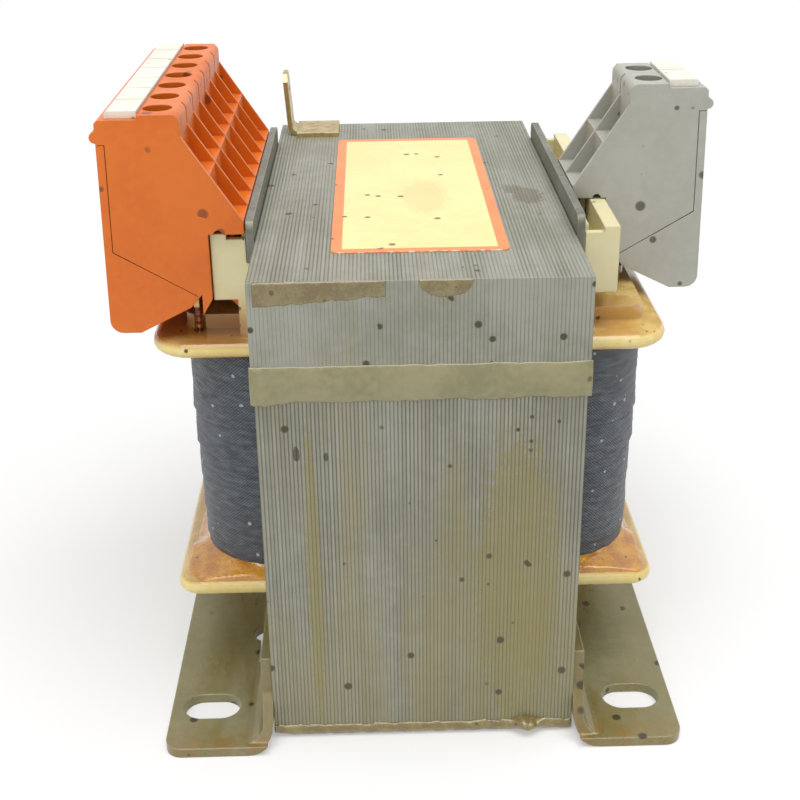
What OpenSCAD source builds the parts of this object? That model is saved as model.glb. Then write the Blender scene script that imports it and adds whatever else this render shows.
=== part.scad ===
// Laminated chassis transformer: welded EI core on two bent sheet feet, one moulded bobbin with
// a terminal rail on each side, a row of primary terminal modules and a pair of secondary ones.
// X runs along the stack of sheets, Y from front to back, Z up from the chassis.
// The origin is the centre of the four chassis slots, on the underside of the feet.

/* [Core] */
// Thickness of one lamination
sheet_t = 0.5; // [0.35:0.01:0.65]
// Varnish film between two laminations
sheet_gap = 0.02; // [0.01:0.005:0.04]
// Number of E laminations
e_sheets = 84; // [60:1:90]
// Number of I laminations, a looser and slightly wider pack
i_sheets = 85; // [60:1:92]
// Width of each outer leg
leg_w = 14; // [11:0.5:18]
// Width of the centre leg
centre_leg_w = 28; // [22:0.5:34]
// Width of each window
window_w = 14; // [12.5:0.5:18]
// Height of the windows
window_h = 42; // [34:0.5:54]
// Height of the E laminations' yoke
yoke_h = 14; // [12:0.5:20]
// Height of the I laminations
i_h = 14; // [12:0.5:16]
// Air gap where E and I laminations meet
joint_gap = 0.1; // [0.05:0.05:0.3]
// Height of the core's underside above the chassis
core_lift = 1; // [0.5:0.1:2]

/* [Weld seams] */
// Height of the seam over the joint
seam_h = 5.6; // [3:0.2:7]
// How far the seam stands proud of the core
seam_proud = 0.7; // [0.3:0.1:1.2]
// How far the seam's ends reach past the E pack
seam_overhang = 0.5; // [0.2:0.1:1]

/* [Feet] */
// Thickness of the foot sheet
foot_t = 1.5; // [1:0.1:2]
// Inner radius of the foot's bend
foot_bend_r = 2.2; // [1.5:0.1:3]
// Length of the feet, front to back
foot_len = 92; // [88:1:104]
// Reach of a foot out from the core's side
foot_reach = 15.7; // [14.5:0.1:20]
// Height of the upright leg that is welded to the core
foot_leg_h = 12.6; // [9:0.2:12.8]
// Rounding of the foot's outer corners
foot_corner_r = 2.5; // [1:0.1:4]
// Width of a chassis slot
slot_w = 5.6; // [4:0.1:6.6]
// Length of a chassis slot, end to end
slot_len = 8.4; // [6.8:0.1:9.4]
// Slot centre's distance from the core's side
slot_reach = 9.67; // [9.4:0.01:9.9]
// Distance between the front and the rear slots
slot_pitch_y = 73; // [60:0.5:80]
// Diameter of the round end of the keyhole in the bend
keyhole_d = 4.6; // [3:0.1:6]
// Width of the keyhole's narrow end
keyhole_w = 2.2; // [1.4:0.1:2.8]
// Distance of the keyhole's round end from the middle
keyhole_y = 18.2; // [14:0.1:22]
// Length of the keyhole's narrow end
keyhole_len = 7.6; // [5:0.1:10]
// Distance of the keyhole from the core's side
keyhole_reach = 2.5; // [2:0.1:3]
// Height up to which the keyhole is punched into the upright leg
keyhole_h = 5.2; // [4:0.1:7]
// How far the upright leg is cut back at each end
leg_cut_back = 4.5; // [2:0.1:6]
// How far that cut reaches in at the sole
leg_cut_toe = 1; // [0.5:0.1:2]
// Height at which the cut's slant ends
leg_cut_rise = 7.7; // [5:0.1:8.5]
// Radius of the welds along the top of the upright legs
foot_weld_r = 1.3; // [0.6:0.1:1.4]
// Length of each of those welds
foot_weld_len = 9; // [5:1:14]
// Distance from one of those welds to the next
foot_weld_pitch = 25.5; // [20:0.5:30]

/* [Bobbin] */
// Gap between core leg and bobbin tube
tube_gap = 0.3; // [0.15:0.05:0.5]
// Wall of the bobbin tube
tube_wall = 1.2; // [0.8:0.1:1.6]
// Thickness of the flanges
flange_t = 2.3; // [1.6:0.1:3]
// Gap between flange and core, above, below and beside
flange_gap = 0.2; // [0.1:0.05:0.5]
// Reach of the flanges past the E pack on the primary side
flange_reach_primary = 15; // [13.5:0.1:18]
// Reach of the flanges past the E pack on the secondary side
flange_reach_secondary = 14.2; // [13.5:0.1:18]
// How much further the upper flange reaches on the primary side
flange_overhang = 0.9; // [0.2:0.1:2]
// Corner radius of the upper flange
flange_corner_upper = 6; // [3:0.5:8]
// Corner radius of the lower flange
flange_corner_lower = 3.5; // [2:0.5:6]
// Rounding of the flange edges
flange_edge = 1; // [0.4:0.1:1.1]
// Height of the pad that stiffens the upper flange under the terminals
pad_h = 2.2; // [1:0.1:2.6]
// Length of that pad, front to back
pad_len = 43; // [38:1:50]
// Radius of the pad's outer corners
pad_corner_r = 2.2; // [1:0.1:4]
// Width of the pad outside the lead-out holes
pad_rim = 1.2; // [0.8:0.1:2]

/* [Rails] */
// Distance of a terminal rail's front end from the middle
rail_front = 25.25; // [22:0.25:27]
// Distance of a terminal rail's rear end from the middle
rail_rear = 27.4; // [22:0.1:27.5]
// Width of the rail's head
rail_w = 4.8; // [4:0.1:6]
// Height of the rail's head
rail_h = 9.6; // [8:0.1:10.5]
// Height of the rail's top above the top of the core
rail_above_core = 1.1; // [0.5:0.1:2]
// Thickness of the web under the rail's head
rail_web_t = 2.7; // [2:0.1:3.4]
// Width of the groove in the top of the rail
rail_groove_w = 2; // [1:0.1:2.4]
// Depth of that groove
rail_groove_d = 5; // [3:0.5:7]
// Wall between the groove and the strip
rail_lip_t = 0.6; // [0.5:0.1:1]
// Wall that closes the groove at each end of the rail
rail_end_t = 1.2; // [0.8:0.1:2]
// How far that wall stays below the rail's top
rail_end_step = 0.8; // [0.4:0.1:1.5]
// Length of the window that each module's latch passes, below the groove
latch_window = 4.2; // [3.6:0.1:5]
// Thickness of the steel strip between yoke and rail
strip_t = 1.1; // [0.8:0.1:1.4]
// Height of the strip
strip_h = 6; // [4:0.5:8]
// How far the strip stands above the core
strip_above_core = 2.9; // [2:0.1:4]
// Distance of the strip's front end from the middle
strip_front = 25.5; // [22:0.5:28]
// Distance of the strip's rear end from the middle
strip_rear = 29.5; // [22:0.5:32]
// Radius of the strip's top corners
strip_corner_r = 1.4; // [1:0.1:3]

/* [Windings] */
// Thickness of the primary winding
primary_build = 4.4; // [3.5:0.1:4.6]
// Thickness of the insulation between the windings
insulation_t = 0.4; // [0.2:0.1:0.6]
// Thickness of the secondary winding
secondary_build = 3.6; // [3:0.1:3.8]
// Thickness of the cloth tape round the coil
wrap_t = 1.7; // [0.8:0.1:1.8]
// Varnish film between the layers of the coil
layer_gap = 0.02; // [0.01:0.01:0.05]
// Space between the coil and the flanges, where the lead-outs run
winding_gap = 1.1; // [1.1:0.1:1.8]
// Diameter of a primary lead-out wire
primary_wire_d = 0.9; // [0.5:0.1:1]
// Diameter of a secondary lead-out wire
secondary_wire_d = 1.2; // [0.8:0.1:1.2]
// Outer diameter of the insulating sleeve on a secondary lead-out
sleeve_d = 2.4; // [1.8:0.1:2.4]
// Diameter of the lead-out holes in the upper flange
lead_hole_d = 1.8; // [1.6:0.1:2.2]
// Bend radius of a lead-out wire
lead_bend_r = 0.9; // [0.7:0.1:1.2]
// Depth of the lead-outs below the outer face of the secondary winding
lead_inset = 0.1; // [0.05:0.05:0.3]
// Gap between a lead-out wire and its sleeve, and above the sleeve
sleeve_gap = 0.1; // [0.05:0.05:0.2]

/* [Terminals] */
// Pitch of the terminal modules
pole_pitch = 7.3; // [7:0.1:8]
// Distance of the secondary modules' front from the middle
secondary_front = 11.2; // [8:0.1:14]
// Joint between two modules
module_gap = 0.04; // [0.02:0.01:0.1]
// Thickness of the fin that parts two poles
fin_t = 0.6; // [0.5:0.05:1]
// Thickness of the end cover
cover_t = 0.9; // [0.6:0.1:1.2]
// Seam round the end cover
cover_gap = 0.1; // [0.05:0.01:0.15]
// Width of the module's rim outside the end cover
cover_rim = 1.1; // [0.8:0.1:1.6]
// Height of the end cover's outer corner above the module's lower end
cover_corner_rise = 11.8; // [10:0.2:14]
// Height of the end cover's toe above the module's lower end
cover_toe_rise = 5.2; // [4.6:0.1:6]
// Distance of the end cover's toe from the leg
cover_toe_out = 0.6; // [0.3:0.1:1]
// Depth below the module's top at which the end cover widens to the outer face
cover_shoulder = 4; // [3.8:0.1:6]
// Gap between module and rail, and between module and strip
module_seat = 0.15; // [0.1:0.05:0.3]
// Height of a module above the rail
module_rise = 16.7; // [15.5:0.1:18]
// Radius of a module's upper inner corner
module_corner_r = 1; // [0.5:0.1:1.5]
// Depth of the groove between two modules, above the wire ledges
joint_groove_d = 0.6; // [0.3:0.1:0.9]
// Radius of a module's lower outer corner
module_base_r = 1.8; // [1:0.1:2.5]
// Width of the flat at a module's lower end
module_base_w = 4.2; // [3:0.1:6]
// Rise of a module's sloping floor towards the rail, per millimetre
floor_slope = 0.5; // [0.4:0.05:0.55]
// How far a module's outer face leans in towards the top
back_lean = 0.6; // [0.3:0.1:1]
// Bevel along the top of the outer face
back_bevel = 0.4; // [0.3:0.1:1]
// Radius of the ridge near the top of the outer face
ridge_r = 0.8; // [0.5:0.1:1]
// Depth of that ridge below the module's top
ridge_drop = 2.9; // [2.2:0.1:3]
// Depth of a module below the rail's top
module_drop = 14; // [13:0.1:14.2]
// How far a module stands out past the rail
module_reach = 14.6; // [13.5:0.1:16]
// Distance of the upright inner face from the rail's outer face
throat_out = 2.9; // [2.6:0.1:3.2]
// Height of the upright inner face
throat_h = 3; // [2:0.1:4]
// Height of the upper wire ledge above the rail
upper_ledge = 8.3; // [7.8:0.1:9]
// Height of the lower wire ledge above the rail
lower_ledge = 1.9; // [1.5:0.1:2.4]
// Thickness of the leg outside the rail
leg_t = 1.4; // [1:0.1:1.8]
// How far that leg reaches past the rail's head
leg_past_rail = 2; // [1:0.1:2.5]
// Free length of the leg below the sloping floor
leg_free = 3.1; // [2.5:0.1:3.6]
// Width of the leg's root beyond its thickness
leg_root = 1.6; // [1:0.1:2]
// Slant at the leg's tip
leg_slant = 2.4; // [1.5:0.1:2.6]
// Thickness of the latch that goes down the rail's groove
latch_t = 0.8; // [0.6:0.05:0.9]
// Width of the latch
latch_w = 3.6; // [3:0.1:4]
// Reach of the latch's barb under the rail's head
latch_barb = 0.7; // [0.4:0.1:0.9]
// Height of that barb
latch_barb_h = 1.6; // [1.2:0.1:1.8]
// Gap between the latch and the rail
latch_gap = 0.1; // [0.05:0.05:0.15]
// Radius of the notch under a module, above the rail
notch_r = 0.6; // [0.4:0.1:0.8]
// Distance of the notch from the rail's outer face
notch_inset = 1.2; // [1:0.1:1.6]
// Diameter of the screwdriver holes
driver_d = 4; // [3.6:0.1:4.2]
// Diameter of the wire holes at the back of the ledges
wire_hole_d = 3.2; // [2.4:0.1:3.4]
// Height of a wire hole above its ledge
wire_hole_rise = 0.3; // [0.1:0.1:0.6]
// Width of the seat for the marker strip
marker_w = 4.4; // [3.6:0.1:4.6]
// Depth of that seat
marker_sink = 0.6; // [0.2:0.1:0.8]
// Distance of the seat from the module's outer face
marker_inset = 1.8; // [1.4:0.1:2.2]
// Gap between the marker strip and the step beside it
marker_gap = 0.1; // [0.05:0.05:0.2]
// Thickness of the marker strip
marker_t = 1; // [0.8:0.1:1.6]
// Bevel along the marker strip's outer edge
marker_bevel = 0.3; // [0.2:0.1:0.5]
// Width of the grooves that part the marker's fields
marker_groove_w = 0.3; // [0.2:0.05:0.5]
// Depth of those grooves
marker_groove_d = 0.35; // [0.2:0.05:0.6]

/* [Clamps] */
// Wall between a module's upright inner face and the clamp's chamber
chamber_wall_in = 0.8; // [0.6:0.1:1.2]
// Wall between the chamber and the module's outer face
chamber_wall_out = 4; // [3:0.1:5]
// Depth of the chamber's roof below the module's top
chamber_roof = 4.3; // [3.6:0.1:4.6]
// Height of the chamber's floor above the module's lower end
chamber_floor = 8.4; // [7.6:0.1:8.8]
// Height of the step in that floor, over the rail's side
chamber_step_h = 3; // [2:0.1:3.4]
// Diameter of the clamp screw's head
screw_head_d = 3.5; // [3:0.1:3.5]
// Height of the clamp screw's head
screw_head_h = 1.6; // [1.2:0.1:2]
// Diameter of the clamp screw's shank
screw_d = 2.6; // [2:0.1:2.8]
// Width of the screw's slot
screw_slot = 0.6; // [0.5:0.05:0.8]
// Height of the clamp cage
cage_h = 9; // [8:0.1:9.4]
// Depth of the clamp cage along the wire
cage_depth = 4.2; // [3.6:0.1:4.2]
// Gap between the cage and the chamber's sides
cage_gap = 0.4; // [0.2:0.05:0.5]
// Wall of the clamp cage
cage_wall = 0.8; // [0.6:0.05:1]
// Thickness of the contact bar
bar_t = 0.8; // [0.5:0.05:0.8]
// Width of the contact bar
bar_w = 3; // [2:0.1:3.6]
// Depth of the contact bar below the cage's roof
bar_drop = 2.6; // [2.2:0.1:3]
// Gap between the bar's turned-down part and the cage
bar_gap = 0.3; // [0.1:0.1:0.5]
// Height of the bar's lower run above the chamber's floor
bar_rise = 0.4; // [0.2:0.1:0.8]
// Gap between the solder tag and the slot that it passes
tag_gap = 0.1; // [0.05:0.05:0.2]
// How far the bar's solder tag reaches below the module's floor
tag_drop = 1.2; // [0.8:0.1:1.6]

/* [Earth tab and label] */
// Thickness of the earth tab's sheet
tab_t = 0.8; // [0.6:0.1:1]
// Width of the blade
tab_w = 6.3; // [4.8:0.1:6.6]
// Height of the blade above the core
tab_h = 10.7; // [8:0.1:14]
// Size of the tab's welded base along X
tab_base_x = 9; // [7:0.1:12]
// Size of the tab's welded base along Y
tab_base_y = 9.2; // [7:0.1:10]
// Bend radius of the tab
tab_bend_r = 0.8; // [0.5:0.1:1.2]
// How far the blade's tip leans out
tab_lean = 0.6; // [0.1:0.1:1]
// Chamfer at the blade's tip
tab_chamfer = 1.2; // [0.6:0.1:1.8]
// Diameter of the hole in the blade
tab_hole_d = 1.6; // [1.2:0.1:2]
// Distance of the base from the core's rear edge
tab_inset_y = 0.5; // [0.2:0.1:2]
// Distance of the blade from the side of the E pack
tab_inset_x = 1.2; // [0.5:0.1:3]
// Width of the rating label
label_w = 24; // [18:0.2:30]
// Length of the rating label
label_len = 60.8; // [40:0.2:64]
// Thickness of the rating label
label_t = 0.12; // [0.08:0.01:0.2]
// Corner radius of the rating label
label_corner_r = 1.2; // [0.5:0.1:2]
// Distance of the label's middle to the right of the core's middle
label_right = 0.4; // [0.1:0.1:2]
// Distance of the label's middle in front of the core's middle
label_forward = 0.8; // [0.1:0.1:2]

/* [Hidden] */
$fn = 48;
eps = 0.01;
arc_steps = 6;
primary_side = -1;
secondary_side = 1;
primary_poles = 7;
secondary_poles = 2;

// Core
e_stack = e_sheets * (sheet_t + sheet_gap) - sheet_gap;
i_stack = i_sheets * (sheet_t + sheet_gap) - sheet_gap;
e_half = e_stack / 2;
i_half = i_stack / 2;
side_half = max(e_half, i_half);
core_depth = 2 * leg_w + 2 * window_w + centre_leg_w;
window_z = core_lift + yoke_h;
joint_z = window_z + window_h;
core_top = joint_z + joint_gap + i_h;

// Bobbin
tube_half_x = e_half + tube_gap;
tube_half_y = centre_leg_w / 2 + tube_gap;
flange_half_y = centre_leg_w / 2 + window_w - 2 * flange_gap;
flange_land = 0.1;
flange_r = min(flange_edge, flange_t / 2 - flange_land);
flange_lo = window_z + flange_gap;
flange_hi = joint_z - flange_gap;

// Rails and strips, as distances from the middle of the core
strip_gap = 0.1;
strip_in = side_half + strip_gap;
strip_out = strip_in + strip_t;
rail_in = strip_out + strip_gap;
rail_out = rail_in + rail_w;
rail_top = core_top + rail_above_core;
strip_top = core_top + strip_above_core;
web_out = strip_in + rail_web_t;
groove_out = rail_in + rail_lip_t + rail_groove_w;
pad_top = flange_hi + pad_h;

// Windings
coil_sharpness = 0.4;
coil_in = tube_wall;
primary_out = coil_in + primary_build;
insulation_out = primary_out + insulation_t;
secondary_out = insulation_out + secondary_build;
wrap_out = secondary_out + wrap_t;
winding_lo = flange_lo + flange_t + winding_gap;
winding_hi = flange_hi - flange_t - winding_gap;
lead_u = tube_half_x + secondary_out - max(primary_wire_d, secondary_wire_d) / 2 - lead_inset;
primary_lead_u = tube_half_x + (coil_in + primary_out) / 2;

// Terminal modules: u is the distance from the middle of the core, z the height
module_top = rail_top + module_rise;
module_floor = rail_top - module_drop;
module_out = rail_out + module_reach;
throat_u = rail_out + throat_out;
throat_z = module_top - throat_h;
nose_u = strip_out + module_seat;
nose_z = rail_top + lower_ledge;
seat_z = rail_top + module_seat;
upper_z = rail_top + upper_ledge;
ledge_u = nose_u + (throat_u - nose_u) * (upper_z - nose_z) / (throat_z - nose_z);
rail_under = rail_top - rail_h;
leg_in = rail_out + module_seat;
leg_out = leg_in + leg_t;
leg_tip_z = rail_under - leg_past_rail;
body_w = pole_pitch - fin_t;
marker_out = module_out - marker_inset;
marker_in = marker_out - marker_w;
cover_corner_z = module_floor + cover_corner_rise;
cover_toe_z = module_floor + cover_toe_rise;

// Clamp chamber inside a module
chamber_in = throat_u + chamber_wall_in;
chamber_out = module_out - chamber_wall_out;
chamber_top = module_top - chamber_roof;
chamber_lo = module_floor + chamber_floor;
driver_u = chamber_in + cage_gap + cage_depth / 2;
cage_top = chamber_top - cage_gap;
cage_z = cage_top - cage_h;
cage_w = body_w - 2 * cage_gap;
bar_z = cage_top - cage_wall - bar_drop;
bar_down_u = driver_u + cage_depth / 2 + bar_gap;
tag_u = lead_u - bar_t / 2;
tag_z = floor_z(lead_u) - tag_drop;

primary_front = (cover_t - primary_poles * pole_pitch) / 2;

// Height of the module's sloping floor at distance u
function floor_z(u) = module_floor + (module_out - module_base_w - u) * floor_slope;

// Distance of a module's leaning outer face at height z
function back_u(z) = module_out - back_lean * (z - module_floor - module_base_r)
    / (module_top - module_floor - module_base_r);

// Points of a circular arc
function arc(c, r, a0, a1, n = arc_steps) =
    [for (i = [0 : n]) c + r * [cos(a0 + (a1 - a0) * i / n), sin(a0 + (a1 - a0) * i / n)]];

// Outline of a rectangle with rounded corners, centred on the origin
function round_rect(w, d, r) = concat(
    arc([w / 2 - r, d / 2 - r], r, 0, 90), arc([r - w / 2, d / 2 - r], r, 90, 180),
    arc([r - w / 2, r - d / 2], r, 180, 270), arc([w / 2 - r, r - d / 2], r, 270, 360));

// Stands an outline drawn in X and Z upright, from y0 to y1
module upright(y0, y1) {
    translate([0, y1, 0]) rotate([90, 0, 0]) linear_extrude(y1 - y0) children();
}

// Draws its children, which are made for the +X side, on the side asked for
module on_side(side) {
    if (side > 0) children();
    else mirror([1, 0, 0]) children();
}

// ---------------------------------------------------------------- core

module sheet_row(count, stack) {
    for (i = [0 : count - 1])
        translate([i * (sheet_t + sheet_gap) - stack / 2, 0, 0]) rotate([90, 0, 90])
            linear_extrude(sheet_t) children();
}

module e_outline() {
    half = core_depth / 2;
    inner = centre_leg_w / 2;
    outer = inner + window_w;
    polygon([[-half, core_lift], [half, core_lift], [half, joint_z], [outer, joint_z],
        [outer, window_z], [inner, window_z], [inner, joint_z], [-inner, joint_z],
        [-inner, window_z], [-outer, window_z], [-outer, joint_z], [-half, joint_z]]);
}

module e_laminations() {
    color("dimgray") sheet_row(e_sheets, e_stack) e_outline();
}

module i_laminations() {
    color("gray") sheet_row(i_sheets, i_stack)
        translate([-core_depth / 2, joint_z + joint_gap]) square([core_depth, i_h]);
}

// A flat crowned bead laid over the joint, rising past both packs' ends
module weld_seam() {
    length = e_stack + 2 * seam_overhang;
    crown = [for (i = [0 : 2 * arc_steps]) let (a = 180 * i / (2 * arc_steps))
        [-core_depth / 2 - seam_proud * sin(a), joint_z - seam_h * cos(a) / 2]];
    translate([-length / 2, 0, 0]) rotate([90, 0, 90]) linear_extrude(length) polygon(crown);
}

module weld_seam_front() {
    color("darkkhaki") weld_seam();
}

module weld_seam_rear() {
    color("darkkhaki") mirror([0, 1, 0]) weld_seam();
}

// ---------------------------------------------------------------- feet

// Section of a foot: flat sole, bend and upright leg, standing on z = 0
module foot_section() {
    bend_u = e_half + foot_t + foot_bend_r;
    bend_z = foot_t + foot_bend_r;
    leg_top = core_lift + foot_leg_h;
    polygon(concat(
        [[e_half, leg_top], [e_half + foot_t, leg_top]],
        arc([bend_u, bend_z], foot_bend_r, 180, 270),
        [[e_half + foot_reach, foot_t], [e_half + foot_reach, 0]],
        arc([bend_u, bend_z], foot_bend_r + foot_t, 270, 180)));
}

// A chassis slot as a true round-ended hole
module chassis_slot() {
    straight = slot_len - slot_w;
    for (end = [-1, 1])
        translate([end * straight / 2, 0, -eps]) cylinder(d = slot_w, h = foot_t + 2 * eps);
    translate([-straight / 2, -slot_w / 2, -eps]) cube([straight, slot_w, foot_t + 2 * eps]);
}

// Everything outside the rounded corners of the sole
module foot_corner() {
    r = foot_corner_r;
    translate([e_half + foot_reach - r, foot_len / 2 - r, -eps])
        difference() {
            cube([r + eps, r + eps, foot_t + 2 * eps]);
            translate([0, 0, -eps]) cylinder(r = r, h = foot_t + 4 * eps);
        }
}

// The upright leg is cut back on a slant at each end
module foot_end_cut() {
    end = foot_len / 2;
    leg_top = core_lift + foot_leg_h + eps;
    width = foot_t + foot_bend_r + 2 * eps;
    translate([e_half - eps, 0, 0]) rotate([90, 0, 90]) linear_extrude(width)
        polygon([[end - leg_cut_toe, foot_t + eps], [end + eps, foot_t + eps],
            [end + eps, leg_top], [end - leg_cut_back, leg_top], [end - leg_cut_back, leg_cut_rise]]);
}

module foot_keyhole() {
    u = e_half + keyhole_reach;
    translate([u, keyhole_y, -eps]) cylinder(d = keyhole_d, h = keyhole_h);
    translate([u - keyhole_w / 2, keyhole_y, -eps]) cube([keyhole_w, keyhole_len, keyhole_h]);
}

module foot() {
    difference() {
        upright(-foot_len / 2, foot_len / 2) foot_section();
        for (end = [0, 1]) mirror([0, end, 0]) {
            translate([e_half + slot_reach, slot_pitch_y / 2, 0]) chassis_slot();
            foot_corner();
            foot_end_cut();
            foot_keyhole();
        }
    }
}

module foot_left() {
    color("darkkhaki") on_side(-1) foot();
}

module foot_right() {
    color("darkkhaki") on_side(1) foot();
}

// Short fillet welds between the top of each upright leg and the outermost lamination
module foot_welds() {
    leg_top = core_lift + foot_leg_h;
    fillet = concat([[e_half, leg_top]], arc([e_half, leg_top], foot_weld_r, 0, 90));
    color("slategray") for (side = [-1, 1], y = [-foot_weld_pitch, 0, foot_weld_pitch])
        on_side(side) upright(y - foot_weld_len / 2, y + foot_weld_len / 2) polygon(fillet);
}

// ---------------------------------------------------------------- bobbin

// A flange plate with rounded plan corners and rounded edges
module flange(z, corner, overhang) {
    left = e_half + flange_reach_primary + overhang;
    right = e_half + flange_reach_secondary;
    translate([(right - left) / 2, 0, z]) hull() for (a = [0, 30, 60, 90]) {
        inset = flange_r * (1 - cos(a));
        edge = flange_r * (1 - sin(a));
        translate([0, 0, edge]) linear_extrude(flange_t - 2 * edge)
            polygon(round_rect(left + right - 2 * inset, 2 * (flange_half_y - inset),
                corner - inset));
    }
}

// Rail section: web beside the yoke, hollow head with a groove along its top
module rail_section() {
    head_lo = rail_top - rail_h;
    strip_lo = strip_top - strip_h;
    polygon([[strip_in, flange_hi - eps], [web_out, flange_hi - eps], [web_out, head_lo],
        [rail_out, head_lo], [rail_out, rail_top], [rail_in, rail_top], [rail_in, strip_lo],
        [strip_in, strip_lo]]);
}

module rail(centres) {
    groove_z = rail_top - rail_groove_d;
    difference() {
        upright(-rail_front, rail_rear) rail_section();
        translate([rail_in + rail_lip_t, rail_end_t - rail_front, groove_z])
            cube([rail_groove_w, rail_front + rail_rear - 2 * rail_end_t, rail_groove_d + eps]);
        for (y = centres) translate([web_out, y - latch_window / 2, rail_top - rail_h - eps])
            cube([groove_out - web_out, latch_window, rail_h - rail_groove_d + 2 * eps]);
        for (y = [-rail_front - eps, rail_rear - rail_end_t - eps])
            translate([rail_in - eps, y, rail_top - rail_end_step])
                cube([groove_out - rail_in + eps, rail_end_t + 2 * eps, rail_end_step + eps]);
    }
}

// Stiffening pad on the upper flange, rounded at its outer corners
module pad() {
    pad_out = lead_u + lead_hole_d / 2 + pad_rim;
    r = pad_corner_r;
    translate([web_out - eps, 0, flange_hi - eps]) linear_extrude(pad_h + eps)
        polygon(concat([[0, -pad_len / 2]],
            arc([pad_out - web_out - r, r - pad_len / 2], r, 270, 360),
            arc([pad_out - web_out - r, pad_len / 2 - r], r, 0, 90),
            [[0, pad_len / 2]]));
}

// Middle of each pole's body, front to back
function pole_centres(front, count) = [for (i = [0 : count - 1]) front + i * pole_pitch + body_w / 2];
primary_centres = pole_centres(primary_front, primary_poles);
secondary_centres = pole_centres(-secondary_front, secondary_poles);

module lead_holes(side, centres) {
    for (y = centres)
        translate([side * lead_u, y, flange_hi - flange_t - eps])
            cylinder(d = lead_hole_d, h = flange_t + pad_h + 2 * eps);
}

module bobbin() {
    tube_z = flange_lo + flange_t / 2;
    tube_h = flange_hi - flange_t / 2 - tube_z;
    color("palegoldenrod") difference() {
        union() {
            flange(flange_lo, flange_corner_lower, 0);
            flange(flange_hi - flange_t, flange_corner_upper, flange_overhang);
            translate([0, 0, tube_z]) linear_extrude(tube_h) coil_outline(tube_wall);
            on_side(primary_side) rail(primary_centres);
            on_side(secondary_side) rail(secondary_centres);
            for (side = [primary_side, secondary_side]) on_side(side) pad();
        }
        translate([0, 0, flange_lo - eps]) linear_extrude(flange_hi - flange_lo + 2 * eps)
            square([2 * tube_half_x, 2 * tube_half_y], center = true);
        lead_holes(primary_side, primary_centres);
        lead_holes(secondary_side, secondary_centres);
    }
}

module strip() {
    r = strip_corner_r;
    lo = strip_top - strip_h;
    translate([strip_in, 0, 0]) rotate([90, 0, 90]) linear_extrude(strip_t)
        polygon(concat([[-strip_front, lo], [strip_rear, lo]],
            arc([strip_rear - r, strip_top - r], r, 0, 90),
            arc([r - strip_front, strip_top - r], r, 90, 180)));
}

module strip_left() {
    color("gray") on_side(-1) strip();
}

module strip_right() {
    color("gray") on_side(1) strip();
}

// ---------------------------------------------------------------- coil

// Outline at a distance from the bobbin tube's inner face
module coil_outline(distance) {
    polygon(round_rect(2 * (tube_half_x + distance), 2 * (tube_half_y + distance),
        distance - coil_sharpness));
}

// One layer of the coil between two distances from the bobbin tube's inner face
module coil_layer(inner, outer) {
    translate([0, 0, winding_lo]) linear_extrude(winding_hi - winding_lo) difference() {
        coil_outline(outer);
        coil_outline(inner);
    }
}

module primary_winding() {
    color("peru") coil_layer(coil_in + layer_gap, primary_out);
}

module winding_insulation() {
    color("ivory") coil_layer(primary_out + layer_gap, insulation_out);
}

module secondary_winding() {
    color("chocolate") coil_layer(insulation_out + layer_gap, secondary_out);
}

module outer_wrap() {
    color("darkslategray") coil_layer(secondary_out + layer_gap, wrap_out);
}

// ---------------------------------------------------------------- terminal modules

// Full outline of a module, drawn for the +X side
module module_outline() {
    bevel_z = module_top - marker_sink - back_bevel;
    ridge_z = module_top - ridge_drop;
    base = [module_out - module_base_r, module_floor + module_base_r];
    difference() {
        polygon(concat(
            arc([throat_u + module_corner_r, module_top - module_corner_r], module_corner_r, 180, 90),
            [[marker_in, module_top], [marker_in, module_top - marker_sink],
             [back_u(bevel_z) - back_bevel, module_top - marker_sink], [back_u(bevel_z), bevel_z]],
            arc([back_u(ridge_z), ridge_z], ridge_r, 90, -90),
            arc(base, module_base_r, 0, -90),
            [[module_out - module_base_w, module_floor],
             [leg_out + leg_root, floor_z(leg_out + leg_root)], [leg_out, leg_tip_z + leg_free],
             [leg_out, leg_tip_z], [leg_in, leg_tip_z + leg_slant], [leg_in, seat_z],
             [nose_u, seat_z], [nose_u, nose_z], [throat_u, throat_z]]));
        translate([rail_out - notch_inset, seat_z]) circle(r = notch_r);
    }
}

// Outline of the barbed latch that holds a module down on the rail
module latch_outline() {
    latch_in = web_out + latch_gap;
    latch_out = latch_in + latch_t;
    catch_z = rail_under - latch_gap;
    polygon([[latch_in, seat_z + eps], [latch_out, seat_z + eps], [latch_out, catch_z],
        [latch_out + latch_barb, catch_z], [latch_in, catch_z - latch_barb_h]]);
}

// The two wire ledges, cut as steps between the fins
module ledge_cut() {
    far = nose_u - strip_t;
    polygon([[far, nose_z], [ledge_u, nose_z], [ledge_u, upper_z], [throat_u, upper_z],
        [throat_u, throat_z + eps], [far, throat_z + eps]]);
}

// Groove that parts the modules' upper blocks
module joint_groove() {
    translate([throat_u - joint_groove_d, throat_z])
        square([2 * joint_groove_d, 2 * throat_h]);
}

// Hollow for the clamp, with the way out for the solder tag
module chamber_cut() {
    tag_in = tag_u - tag_gap;
    tag_out = tag_u + bar_t + tag_gap;
    step_z = chamber_lo + chamber_step_h;
    polygon([[chamber_in, chamber_top], [chamber_out, chamber_top], [chamber_out, chamber_lo],
        [tag_out, chamber_lo], [tag_out, module_floor], [tag_in, module_floor],
        [tag_in, step_z], [chamber_in, step_z]]);
}

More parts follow.
